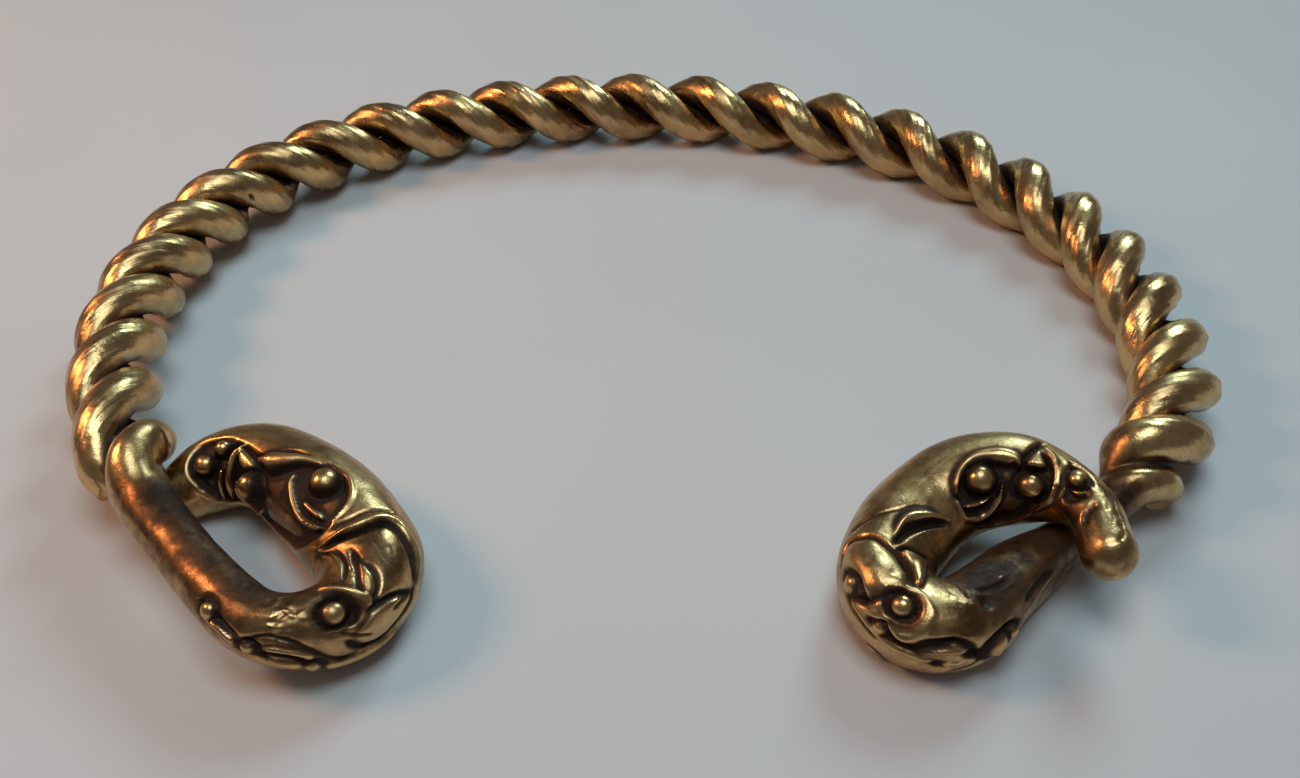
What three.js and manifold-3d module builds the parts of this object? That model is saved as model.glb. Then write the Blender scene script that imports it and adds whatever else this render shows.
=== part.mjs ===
// Gold torc: two stout rods twisted together into an open neck ring, with a loop
// terminal cast on each end. Millimetres, +Z up. The torc lies flat, its opening
// toward -Y. The origin is under the middle of its box, on the surface it lies on.
import * as THREE from 'three';
import Module from 'manifold-3d';
import { mergeVertices } from 'three/addons/utils/BufferGeometryUtils.js';

const wasm = await Module();
wasm.setup();

// ---- driving dimensions ----
const rodDiameter = 7.3;
const gap = 0.3;                    // clearance between neighbouring solids
const backY = 73.96;                // ring's centreline at the middle of its back
const originX = -3.19;              // moves the ring sideways to centre its box
const backHeight = 7.15;            // centreline above the table where it rests
const twistAtBack = 53.3;           // degrees from outward to the first rod, at the back
const rodSides = 8;
const stepsPerTurn = 11;
const barSides = 14;
const barStep = 2.7;                // spacing of the terminal's sections
const neckBlend = 13;               // length in which two rods melt into one bar
const innerFlattening = 0.14;       // how much the bar's inner side gives way in its bend
const bendMiddle = 60;              // past the rods' end
const bendSpread = 26;

const rodRadius = rodDiameter / 2;
const rodOffset = (rodDiameter + gap) / 2;
const ropeRadius = rodOffset + rodRadius;

// Half of one turn of the twist, by signed distance from the back: it was wound
// tightest on the left shoulder and at the right end.
const halfPitch = [[-190, 15.4], [-90, 13.4], [50, 15.2], [190, 12.3]];

// Each side is a chain of arcs in plan, from the middle of the back to the nose of
// the terminal: the first three make the neck ring, the others the loop.
// Heights and half-widths are by distance past the end of the rods.
const backArc = { turn: 28, radius: 111.5 };
const ringArcs = 3;
const sides = {
  left: {
    sign: -1,
    arcs: [
      backArc, { turn: 51, radius: 63.5 }, { turn: 42, radius: 88 },
      { turn: 18, radius: 114 }, { turn: 164, radius: 10.1 },
      { turn: 24, radius: 54 }, { turn: 150, radius: 12.5 },
    ],
    loopLength: 114.5,
    height: [[-115, backHeight], [0, 11], [12, 11.1], [38, 8.4], [52, 6.5],
      [66, 6.8], [78, 7.3], [93, 6.6], [104, 4.2], [112, 3.6]],
    width: [[0, 4.2], [12, 3.8], [38, 4.9], [52, 6.3], [66, 7.1], [78, 7.3],
      [93, 6.4], [101, 4.6], [106, 3.5], [115, 3.4]],
  },
  right: {
    sign: 1,
    arcs: [
      backArc, { turn: 74, radius: 76.5 }, { turn: 32, radius: 40 },
      { turn: 6, radius: 420 }, { turn: 156.5, radius: 7.8 },
      { turn: 29.7, radius: 30.6 }, { turn: 120, radius: 13 },
    ],
    loopLength: 117,
    height: [[-12, backHeight], [0, 7], [12, 4.7], [38, 5], [52, 6.3],
      [75, 7.6], [95, 11.5], [106, 13.5], [118, 12.5]],
    width: [[0, 4.2], [12, 3.5], [38, 5.2], [52, 6.4], [75, 6.9],
      [92, 7], [104, 4.1], [118, 4]],
  },
};

// Round bosses of the ornament: distance past the rods' end, degrees round the bar
// (0 outward, 90 up), and radius.
const bosses = {
  left: [
    { along: 74, around: 100, radius: 2.3 }, { along: 86.6, around: 168, radius: 2 },
    { along: 98.2, around: 118, radius: 1.5 }, { along: 94.6, around: 106, radius: 1.2 },
    { along: 49.3, around: 64, radius: 1.7 }, { along: 35, around: 30, radius: 1.6 },
    { along: 45, around: -20, radius: 1.6 },
  ],
  right: [
    { along: 87, around: 133, radius: 2.4 }, { along: 97, around: 146, radius: 2.1 },
    { along: 103, around: 108, radius: 1.6 }, { along: 54.2, around: 64, radius: 2 },
    { along: 58.7, around: 30, radius: 1.5 }, { along: 54.6, around: 16, radius: 1.2 },
    { along: 42.8, around: 16, radius: 1.6 },
  ],
};

// Raised ribs of the ornament: the places they pass through, and how thick they are.
const ribs = {
  left: [
    { thickness: 1.5, route: [[86, 118], [83, 86], [76, 66], [69, 88], [66, 128]] },
    { thickness: 1.3, route: [[78, 122], [74, 130], [69, 122]] },
    { thickness: 1.4, route: [[67, 116], [64, 80], [61, 40], [57, 14]] },
    { thickness: 1.3, route: [[48, 88], [51, 78], [52, 52], [50, 36]] },
    { thickness: 1.3, route: [[56, 10], [52, -16], [48, -8]] },
    { thickness: 1.3, route: [[33, 52], [39, 38], [45, 16]] },
  ],
  right: [
    { thickness: 1.5, route: [[82, 124], [87, 100], [94, 114]] },
    { thickness: 1.3, route: [[80, 152], [83, 168], [87, 162]] },
    { thickness: 1.4, route: [[97, 84], [102, 126], [99, 172]] },
    { thickness: 1.4, route: [[67, 90], [70, 114], [72, 138]] },
    { thickness: 1.4, route: [[63, 104], [57, 98], [52, 86]] },
    { thickness: 1.3, route: [[66, 62], [60, 84], [55, 82], [51, 62], [52, 34]] },
    { thickness: 1.3, route: [[54, 4], [50, 14], [47, 20], [45, 4]] },
    { thickness: 1.3, route: [[28, 60], [33, 34], [38, 8]] },
  ],
};

const gold = { color: 0xa6814a, roughness: 0.34, metalness: 1 };

// ---- curves ----

// A smooth value through stations of [place, value], level at both ends.
function valueAt(stations, place) {
  const last = stations.length - 1;
  if (place <= stations[0][0]) return stations[0][1];
  if (place >= stations[last][0]) return stations[last][1];
  const slope = (k) => (k === 0 || k === last ? 0
    : (stations[k + 1][1] - stations[k - 1][1]) / (stations[k + 1][0] - stations[k - 1][0]));
  const i = stations.findIndex(([x], k) => k < last && place < stations[k + 1][0] && place >= x);
  const width = stations[i + 1][0] - stations[i][0];
  const t = (place - stations[i][0]) / width;
  return stations[i][1] * (1 + 2 * t) * (1 - t) ** 2 + slope(i) * width * t * (1 - t) ** 2
    + stations[i + 1][1] * t * t * (3 - 2 * t) - slope(i + 1) * width * t * t * (1 - t);
}

const arcLength = ({ turn, radius }) => THREE.MathUtils.degToRad(turn) * radius;

const ropeLength = (side) => side.arcs.slice(0, ringArcs)
  .reduce((sum, arc) => sum + arcLength(arc), 0);

// The centreline at a signed distance from the middle of the back, minus to the left.
function centreline(distance) {
  const side = distance < 0 ? sides.left : sides.right;
  let left = Math.abs(distance);
  let x = 0;
  let y = backY;
  let heading = 0;
  for (const arc of side.arcs) {
    const run = Math.min(left, arcLength(arc));
    const turned = heading + run / arc.radius;
    x += arc.radius * (Math.sin(turned) - Math.sin(heading));
    y += arc.radius * (Math.cos(turned) - Math.cos(heading));
    heading = turned;
    left -= run;
  }
  x += left * Math.cos(heading);
  y -= left * Math.sin(heading);
  const height = valueAt(side.height, Math.abs(distance) - ropeLength(side));
  return new THREE.Vector3(originX + side.sign * x, y, height);
}

// Centre, direction of travel from left to right, outward and upward at a distance.
function frameAt(distance) {
  const nudge = 0.05;
  const travel = centreline(distance + nudge).sub(centreline(distance - nudge)).normalize();
  const outward = new THREE.Vector3(0, 0, 1).cross(travel).normalize();
  const upward = travel.clone().cross(outward);
  return { centre: centreline(distance), travel, outward, upward };
}

function pointAround(frame, angle, radius) {
  return frame.centre.clone()
    .addScaledVector(frame.outward, radius * Math.cos(angle))
    .addScaledVector(frame.upward, radius * Math.sin(angle));
}

// The twist's angle, summed from the back in small steps.
const twistStep = 0.5;
function twistAt(distance) {
  const steps = Math.ceil(Math.abs(distance) / twistStep);
  let angle = THREE.MathUtils.degToRad(twistAtBack);
  for (let i = 0; i < steps; i += 1) {
    const middle = ((i + 0.5) / steps) * distance;
    angle += (Math.PI / valueAt(halfPitch, middle)) * (distance / steps);
  }
  return angle;
}

// ---- solids ----

// A closed skin over rings of points, with a flat fan over each end.
function skin(rings) {
  const sidesRound = rings[0].length;
  const points = rings.flat();
  const faces = [];
  for (let i = 0; i + 1 < rings.length; i += 1) {
    for (let j = 0; j < sidesRound; j += 1) {
      const a = i * sidesRound + j;
      const b = i * sidesRound + ((j + 1) % sidesRound);
      faces.push(a, b, a + sidesRound, b, b + sidesRound, a + sidesRound);
    }
  }
  const middleOf = (ring) => ring.reduce((sum, p) => sum.add(p), new THREE.Vector3())
    .divideScalar(ring.length);
  const first = points.push(middleOf(rings[0])) - 1;
  const last = points.push(middleOf(rings[rings.length - 1])) - 1;
  const lastRing = (rings.length - 1) * sidesRound;
  for (let j = 0; j < sidesRound; j += 1) {
    const next = (j + 1) % sidesRound;
    faces.push(first, next, j, last, lastRing + j, lastRing + next);
  }
  const geometry = new THREE.BufferGeometry().setFromPoints(points);
  geometry.setIndex(faces);
  return geometry;
}

function toSolid(geometry) {
  const bare = geometry.clone();
  bare.deleteAttribute('normal');
  bare.deleteAttribute('uv');
  const merged = mergeVertices(bare, 1e-4);
  return new wasm.Manifold(new wasm.Mesh({
    numProp: 3,
    vertProperties: new Float32Array(merged.attributes.position.array),
    triVerts: new Uint32Array(merged.index.array),
  }));
}

function toMesh(name, solid) {
  const { vertProperties, triVerts } = solid.getMesh();
  const geometry = new THREE.BufferGeometry();
  geometry.setAttribute('position', new THREE.BufferAttribute(vertProperties, 3));
  geometry.setIndex(new THREE.BufferAttribute(triVerts, 1));
  geometry.computeVertexNormals();
  const mesh = new THREE.Mesh(geometry, new THREE.MeshStandardMaterial(gold));
  mesh.name = name;
  return mesh;
}

// All that is under the table's surface: taking it away leaves small flats to lie on.
const tableSize = 300;
const tableDepth = 20;
const underTable = toSolid(new THREE.BoxGeometry(tableSize, tableSize, tableDepth)
  .translate(0, 0, -tableDepth / 2));

// A block that starts square across the ring at a distance and goes on past it.
function blockBeyond(distance) {
  const size = 40;
  const { centre, travel, outward, upward } = frameAt(distance);
  const along = travel.clone().multiplyScalar(Math.sign(distance));
  const turn = new THREE.Matrix4().makeBasis(along, outward, along.clone().cross(outward));
  const block = new THREE.BoxGeometry(size, size, size).translate(size / 2, 0, 0);
  return toSolid(block.applyMatrix4(turn).translate(centre.x, centre.y, centre.z));
}

// ---- pieces ----

function rod(name, phase) {
  const overrun = 5;
  const nudge = 0.1;
  const start = -ropeLength(sides.left) - overrun;
  const end = ropeLength(sides.right) + overrun;
  const path = (distance) => pointAround(frameAt(distance), twistAt(distance) + phase, rodOffset);
  const rings = [];
  let distance = start;
  while (distance < end) {
    const centre = path(distance);
    const travel = path(distance + nudge).sub(path(distance - nudge)).normalize();
    const away = centre.clone().sub(centreline(distance));
    const outward = away.addScaledVector(travel, -away.dot(travel)).normalize();
    const frame = { centre, outward, upward: travel.clone().cross(outward) };
    const ring = [];
    for (let j = 0; j < rodSides; j += 1) {
      ring.push(pointAround(frame, ((j + 0.5) / rodSides) * 2 * Math.PI, rodRadius));
    }
    rings.push(ring);
    distance += (2 * valueAt(halfPitch, distance)) / stepsPerTurn;
  }
  const solid = toSolid(skin(rings))
    .subtract(blockBeyond(-ropeLength(sides.left)))
    .subtract(blockBeyond(ropeLength(sides.right)))
    .subtract(underTable);
  return toMesh(name, solid);
}

const smooth = (t) => THREE.MathUtils.smoothstep(t, 0, 1);

// The bar's radius at a distance past the rods and an angle round it: two rods side by
// side at the neck, then round, then a domed nose.
function barRadius(side, along, angle) {
  const width = valueAt(side.width, along);
  const bend = Math.exp(-(((along - bendMiddle) / bendSpread) ** 2));
  const inner = Math.max(0, -Math.cos(angle)) ** 2;
  const round = width * (1 - innerFlattening * bend * inner);
  const twist = angle - twistAt(side.sign * (ropeLength(side) + along));
  const waist = rodRadius + 0.3;
  const pair = 1 / Math.hypot(Math.cos(twist) / ropeRadius, Math.sin(twist) / waist);
  const body = THREE.MathUtils.lerp(pair, round, smooth(along / neckBlend));
  const toNose = side.loopLength - along;
  const dome = toNose < width ? Math.sqrt(Math.max(0, 1 - (1 - toNose / width) ** 2)) : 1;
  return body * dome;
}

function surfacePoint(side, along, degrees, lift) {
  const angle = THREE.MathUtils.degToRad(degrees);
  const frame = frameAt(side.sign * (ropeLength(side) + along));
  return pointAround(frame, angle, barRadius(side, along, angle) + lift);
}

function bar(side) {
  const noseSteps = [0.15, 0.8, 1.9];
  const places = noseSteps.map((step) => side.loopLength - step);
  const body = side.loopLength - valueAt(side.width, side.loopLength);
  const count = Math.round((body - gap) / barStep);
  for (let i = count; i >= 0; i -= 1) places.push(gap + ((body - gap) * i) / count);
  if (side.sign > 0) places.reverse();
  const rings = places.map((along) => {
    const frame = frameAt(side.sign * (ropeLength(side) + along));
    const ring = [];
    for (let j = 0; j < barSides; j += 1) {
      const angle = (j / barSides) * 2 * Math.PI;
      ring.push(pointAround(frame, angle, barRadius(side, along, angle)));
    }
    return ring;
  });
  return toSolid(skin(rings));
}

function boss(side, { along, around, radius }) {
  const sunk = 0.35;                // share of its radius that lies below the surface
  const centre = surfacePoint(side, along, around, -sunk * radius);
  const ball = new THREE.SphereGeometry(radius, 7, 5);
  return toSolid(ball.translate(centre.x, centre.y, centre.z));
}

// A rib that follows the surface, thickest in its middle and tapering to both ends.
function rib(side, { thickness, route }) {
  const steps = 5;
  const ribSides = 4;
  const line = new THREE.CatmullRomCurve3(
    route.map(([along, around]) => surfacePoint(side, along, around, 0)),
  );
  const rings = [];
  for (let i = 0; i <= steps; i += 1) {
    const t = i / steps;
    const centre = line.getPoint(t);
    const travel = line.getTangent(t);
    const outward = new THREE.Vector3(0, 0, 1).cross(travel).normalize();
    const frame = { centre, outward, upward: travel.clone().cross(outward) };
    const radius = (thickness / 2) * (0.35 + 0.65 * Math.sin(Math.PI * t));
    const ring = [];
    for (let j = 0; j < ribSides; j += 1) {
      ring.push(pointAround(frame, (j / ribSides) * 2 * Math.PI, radius));
    }
    rings.push(ring);
  }
  return toSolid(skin(rings));
}

function terminal(name, key) {
  const side = sides[key];
  let solid = bar(side);
  for (const one of bosses[key]) solid = solid.add(boss(side, one));
  for (const one of ribs[key]) solid = solid.add(rib(side, one));
  return toMesh(name, solid.subtract(underTable));
}

const torc = new THREE.Group();
torc.add(rod('rod_a', 0));
torc.add(rod('rod_b', Math.PI));
torc.add(terminal('terminal_left', 'left'));
torc.add(terminal('terminal_right', 'right'));

export default torc;
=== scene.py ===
"""Gold torc: two stout gold rods twisted together into an open neck ring, with a
loop terminal cast on each end and covered in curving relief. It lies on a table.

The shape is worked out in millimetres and made in metres. A place on a terminal is
given as (along, around): millimetres past the end of the rods, and degrees round the
bar from its outward side, 90 being the top and 180 the side of the loop's hole.
Ornament is laid out to the nearest half millimetre.
"""

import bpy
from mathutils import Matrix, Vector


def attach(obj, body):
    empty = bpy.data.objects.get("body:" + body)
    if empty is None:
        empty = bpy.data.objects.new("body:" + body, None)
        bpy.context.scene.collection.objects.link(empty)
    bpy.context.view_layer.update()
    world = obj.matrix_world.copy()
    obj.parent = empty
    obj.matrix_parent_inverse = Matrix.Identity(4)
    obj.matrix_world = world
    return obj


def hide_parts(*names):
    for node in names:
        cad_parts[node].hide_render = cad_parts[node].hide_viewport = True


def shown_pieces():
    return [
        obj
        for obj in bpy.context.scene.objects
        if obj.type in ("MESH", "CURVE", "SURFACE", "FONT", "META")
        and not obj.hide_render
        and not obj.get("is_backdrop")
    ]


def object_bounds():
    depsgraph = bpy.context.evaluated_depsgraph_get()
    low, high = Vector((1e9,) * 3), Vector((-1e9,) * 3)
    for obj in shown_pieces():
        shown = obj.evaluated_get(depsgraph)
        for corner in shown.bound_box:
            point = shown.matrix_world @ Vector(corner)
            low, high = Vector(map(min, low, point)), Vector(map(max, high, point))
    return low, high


bl_info = {
    "name": "Gold Torc",
    "version": (1, 0, 0),
    "blender": (4, 5, 0),
    "location": "View3D > Sidebar > Torc",
    "description": "A neck ring of two twisted gold rods with cast loop terminals",
    "category": "Add Mesh",
}

import math

import bpy
import numpy as np
from bpy.props import FloatProperty, FloatVectorProperty, IntProperty, PointerProperty
from mathutils import Matrix, Vector

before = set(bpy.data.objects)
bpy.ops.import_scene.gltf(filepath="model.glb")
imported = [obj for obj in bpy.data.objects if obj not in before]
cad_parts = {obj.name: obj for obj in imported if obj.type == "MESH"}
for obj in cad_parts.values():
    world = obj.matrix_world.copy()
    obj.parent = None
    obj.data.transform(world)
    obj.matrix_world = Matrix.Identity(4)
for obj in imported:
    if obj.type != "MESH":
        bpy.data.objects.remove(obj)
cad_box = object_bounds()

MM = 0.001

# ---- the ring and its loops, in millimetres ----

BACK_Y = 73.96              # the ring's centreline at the middle of its back
ORIGIN_X = -3.19            # moves the ring sideways to centre its box
BACK_HEIGHT = 7.15          # centreline above the table where the rods rest
RING_ARCS = 3               # of each side's arcs, those that make the neck ring
NECK_BLEND = 13.0           # length in which two rods melt into one bar
CUFF = 3.0                  # how far the cast metal reaches back over the rods
CUFF_EDGE = -0.12           # height of its edge over the rods, into which it sinks
CUFF_SKIN = 0.10            # its height over the rods from 2 mm further on
WAIST = 2.9                 # half the thickness of the web between the two lobes of a cuff
WAIST_GAIN = 0.8            # what the web gains on its way into the bar
ROOT = 0.8                  # how far the rods reach on into the cast metal

# Half of one turn of the twist, by signed distance from the back.
HALF_PITCH = [(-190, 15.4), (-90, 13.4), (50, 15.2), (190, 12.3)]

# Each side is a chain of arcs in plan (degrees, radius) from the middle of the back to
# the nose of the terminal. Its loop is the terminal's length past the rods' end. Heights,
# half-widths, how much the bar swells towards the hole and how far its outer side is worn
# down are by distance past the rods' end.
BACK_ARC = (28, 111.5)
SIDES = {
    "left": {
        "sign": -1,
        "arcs": [BACK_ARC, (51, 63.5), (42, 88), (18, 114), (164, 10.1), (24, 54), (150, 12.5)],
        "loop": 109.6,
        "height": [(-115, BACK_HEIGHT), (0, 11), (12, 11.1), (38, 8.4), (52, 6.5), (66, 6.8),
                   (78, 7.3), (93, 6.6), (103, 4.2), (110, 2.9)],
        "width": [(0, 4.2), (12, 3.8), (38, 4.9), (52, 6.3), (66, 7.1), (78, 7.3),
                  (93, 6.5), (100, 5.8), (105, 4.5), (110, 3.4)],
        "swell": [(0, 0), (38, -0.3), (50, 0.3), (60, 1.5), (70, 1.7), (82, 1.2), (96, 0)],
        "wear": [(0, 0), (8, -1), (20, -0.3), (36, 0), (50, 1.1), (64, 0)],
    },
    "right": {
        "sign": 1,
        "arcs": [BACK_ARC, (74, 76.5), (32, 40), (6, 420), (156.5, 7.8), (29.7, 30.6), (120, 13)],
        "loop": 117,
        "height": [(-12, BACK_HEIGHT), (0, 7), (12, 4.5), (24, 4.4), (38, 5), (52, 6.3),
                   (75, 7.6), (95, 11.5), (106, 13.5), (118, 12.5)],
        "width": [(0, 4.2), (12, 3.5), (38, 5.2), (52, 6.4), (75, 6.9),
                  (92, 7), (104, 4.1), (118, 4)],
        "swell": [(0, 0), (20, 0.9), (30, 2.4), (42, 1.9), (58, 1.6), (70, 1.3), (84, 0.5), (96, 0)],
        "wear": [(4, 0), (16, 1.8), (30, 2.0), (42, 0.9), (58, 1.9), (76, 0)],
    },
}

# Each rod's start angle, the seed of its hammering, and the small pits in its metal as
# (distance from the back, degrees round the rod), all of one size.
RODS = [
    ("rod_a", 0.0, 3, ()),
    ("rod_b", math.pi, 8, ((-90.9, 57),)),
]
ROD_PIT_LENGTH = 0.42
ROD_PIT_WIDTH = 0.5
ROD_PIT_DEPTH = 0.45

# Round each rod, in radians from the side that faces away from the other rod: where it
# starts to swell until it bears on the other rod, and where the valley between the two
# starts to darken with patina and painted shade.
BEARING_FROM = 2.3
BEARING_OVER = 0.7
BEARING_DEPTH = 0.06        # how deep one rod is pressed into the other
VALLEY_PATINA_AND_SHADE_FROM = math.radians(78)
VALLEY_PATINA_AND_SHADE_OVER = math.radians(52)

# How the hammer left the rods, as shares of their radius, and how far its faces wander
# round them, in radians.
FACE_DEPTH = 0.052
FACE_CHANGE = 0.020
FACE_SOFTNESS = 0.006
DENT_DEPTH = 0.010
FACE_WANDER = 0.16
FACE_SCATTER = 0.22

# The uneven skin that the mould left: (height, spacing along, number round the bar).
CAST_SKIN = [(0.07, 5.5, 7), (0.04, 2.1, 17), (0.01, 0.8, 47)]

# The moat round a boss, and how far a rib's foot is set into what lies under it.
MOAT_DEPTH = 0.28
MOAT_WIDTH = 0.4
RIB_FOOT = 0.3

# How deep under its surroundings a place starts to hold crust, and how proud of them it
# is rubbed clean. The brown bloom round the crust spreads by so many steps of the skin.
CRUST_FROM = 0.15
CRUST_OVER = 0.6
RUBBED_FROM = 0.05
RUBBED_OVER = 0.3
BLOOM_STEPS = 60

# How fine each pattern of the metal's finish is: spots per metre.
PATCHES = 95
CLOUDS = 240
RAGGED_EDGES = 420
DINGS = 520
SPECKS = 620
SCRATCHES = 750
CASTING_GRAIN = 2600

# ---- the stage, in metres, watts and degrees ----

LAMPS = [
    ("window", (0.55, 1.20, 1.00), 0.62, 10.5, (0.60, 0.94, 1.0)),
    ("warm_lamp", (-0.46, 0.02, 0.38), 0.17, 1.2, (1.0, 0.50, 0.25)),
    ("ceiling", (0.0, -0.10, 0.60), 0.35, 1.35, (0.78, 0.96, 1.0)),
]
ROOM_LIGHT = (0.82, 0.79, 0.78, 1)
ROOM_STRENGTH = 0.13
CAMERA_PLACE = (0.00126, -0.18624, 0.14325)
CAMERA_TILT = 49.94
CAMERA_LENS = 35.5
TABLE_SIZE = 6.0


# ---- what a user would change ----

class TorcSizes(bpy.types.PropertyGroup):
    """Sizes of the rods and of the relief"""

    rod_diameter: FloatProperty(
        name="Rod Diameter", description="Diameter of each of the two twisted rods",
        default=0.0073, min=0.004, max=0.01, unit="LENGTH")
    rod_gap: FloatProperty(
        name="Rod Gap", description="Clearance between the two rods",
        default=0.0003, min=0.0, max=0.001, unit="LENGTH")
    twist_at_back: FloatProperty(
        name="Twist at Back", description="Angle from outward to the first rod at the back",
        default=math.radians(53.3), subtype="ANGLE")
    facets: IntProperty(
        name="Hammered Faces", description="Long faces that the hammer left round a rod",
        default=11, min=6, max=20)
    relief: FloatProperty(
        name="Relief", description="Strength of the terminals' relief, 1 as cast",
        default=1.0, min=0.0, max=1.5, subtype="FACTOR")


class TorcFinish(bpy.types.PropertyGroup):
    """Colours of the metal, its tarnish and painted shade, and the table"""

    rubbed: FloatVectorProperty(
        name="Rubbed Gold", description="Colour of the gold where it is rubbed bright",
        default=(0.68, 0.44, 0.20), subtype="COLOR", min=0, max=1)
    dulled: FloatVectorProperty(
        name="Dulled Gold", description="Colour of the gold where it has dulled",
        default=(0.38, 0.235, 0.112), subtype="COLOR", min=0, max=1)
    # This colour paints the brown bloom and stains, and also the painted shade on the loops' hole
    # sides and necks.
    stain_and_shade: FloatVectorProperty(
        name="Stain and Shade", description="Colour of the brown bloom round the hollows",
        default=(0.20, 0.100, 0.045), subtype="COLOR", min=0, max=1)
    # This colour also paints the deepest painted shade in the rods' valleys and in the creases where
    # they go into the loops.
    tarnish_and_shade: FloatVectorProperty(
        name="Tarnish and Shade", description="Colour of the brown crust in the hollows",
        default=(0.036, 0.021, 0.015), subtype="COLOR", min=0, max=1)
    table: FloatVectorProperty(
        name="Table", description="Colour of the pale table",
        default=(0.588, 0.582, 0.605), subtype="COLOR", min=0, max=1)


# ---- curves ----

def smooth(t):
    """0 to 1 with a level start and end."""
    t = np.clip(t, 0, 1)
    return t * t * (3 - 2 * t)


def melt(a, b, softness):
    """The higher of two heights, with the crease between them filled softly."""
    share = np.clip(0.5 + 0.5 * (a - b) / softness, 0, 1)
    return b + (a - b) * share + softness * share * (1 - share)


def value_at(stations, places):
    """A smooth value through (place, value) stations, level at both ends."""
    where = np.array([place for place, _ in stations], float)
    value = np.array([v for _, v in stations], float)
    slope = np.zeros_like(value)
    slope[1:-1] = (value[2:] - value[:-2]) / (where[2:] - where[:-2])
    i = np.clip(np.searchsorted(where, places, side="right") - 1, 0, len(where) - 2)
    width = where[i + 1] - where[i]
    t = np.clip((places - where[i]) / width, 0, 1)
    return (value[i] * (1 + 2 * t) * (1 - t) ** 2 + slope[i] * width * t * (1 - t) ** 2
            + value[i + 1] * t * t * (3 - 2 * t) - slope[i + 1] * width * t * t * (1 - t))


def rope_length(side):
    """Length of the twisted rods from the middle of the back to their end."""
    return sum(math.radians(turn) * radius for turn, radius in side["arcs"][:RING_ARCS])


def centreline(distance):
    """Points of the centreline at signed distances from the middle of the back."""
    distance = np.asarray(distance, float)
    points = np.zeros(distance.shape + (3,))
    for side in SIDES.values():
        mine = distance < 0 if side["sign"] < 0 else distance >= 0
        left = np.abs(distance[mine])
        past = left - rope_length(side)
        x, y, heading = np.zeros_like(left), np.full_like(left, BACK_Y), np.zeros_like(left)
        for turn, radius in side["arcs"]:
            run = np.clip(left, 0, math.radians(turn) * radius)
            turned = heading + run / radius
            x += radius * (np.sin(turned) - np.sin(heading))
            y += radius * (np.cos(turned) - np.cos(heading))
            heading = turned
            left = left - run
        x += left * np.cos(heading)
        y -= left * np.sin(heading)
        height = value_at(side["height"], past)
        points[mine] = np.stack([ORIGIN_X + side["sign"] * x, y, height], -1)
    return points


def unit(vectors):
    """The same directions, each of length 1."""
    return vectors / np.maximum(np.linalg.norm(vectors, axis=-1, keepdims=True), 1e-12)


def frames(distance):
    """Centre, outward and upward directions across the centreline."""
    nudge = 0.05
    travel = unit(centreline(distance + nudge) - centreline(distance - nudge))
    outward = unit(np.cross([0.0, 0.0, 1.0], travel))
    return centreline(distance), outward, np.cross(travel, outward)


def twist_at(distance, at_back):
    """Angle of the first rod round the centreline, from outward."""
    reach, per_millimetre = 320, 10
    places = np.linspace(-reach, reach, 2 * reach * per_millimetre + 1)
    rate = math.pi / value_at(HALF_PITCH, places)
    steps = (rate[1:] + rate[:-1]) / 2 * np.diff(places)
    angle = np.concatenate([[0], np.cumsum(steps)])
    angle -= np.interp(0, places, angle)
    return at_back + np.interp(distance, places, angle)


def curve_through(route, steps, closed=False):
    """A smooth curve through points, with so many steps between two of them."""
    route = np.array(route, float)
    if closed:
        padded = np.vstack([route[-1:], route, route[:2]])
    else:
        padded = np.vstack([2 * route[0] - route[1], route, 2 * route[-1] - route[-2]])
    t = np.arange(steps)[:, None] / steps
    parts = []
    for before, start, end, after in zip(padded, padded[1:], padded[2:], padded[3:]):
        parts.append(start + 0.5 * t * (end - before + t * (2 * before - 5 * start + 4 * end - after
                     + t * (3 * (start - end) + after - before))))
    parts.append(padded[-2:-1])
    return np.vstack(parts)


def bumps(along, around, size, around_count, seed):
    """Soft random bumps from -1 to 1 over a skin, closed round it.
    around is 0 to 1, size is their spacing along, around_count their number round."""
    rng = np.random.default_rng(seed)
    rows = int(math.ceil((along.max() - along.min()) / size)) + 2
    grid = rng.uniform(-1, 1, (rows, around_count))
    u = (along - along.min()) / size
    v = np.mod(around, 1) * around_count
    i, j = np.floor(u).astype(int), np.floor(v).astype(int)
    s, t = smooth(u - i), smooth(v - j)
    j = j % around_count
    k = (j + 1) % around_count
    low = grid[i, j] * (1 - t) + grid[i, k] * t
    high = grid[i + 1, j] * (1 - t) + grid[i + 1, k] * t
    return low * (1 - s) + high * s


# ---- mesh helpers ----

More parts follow.
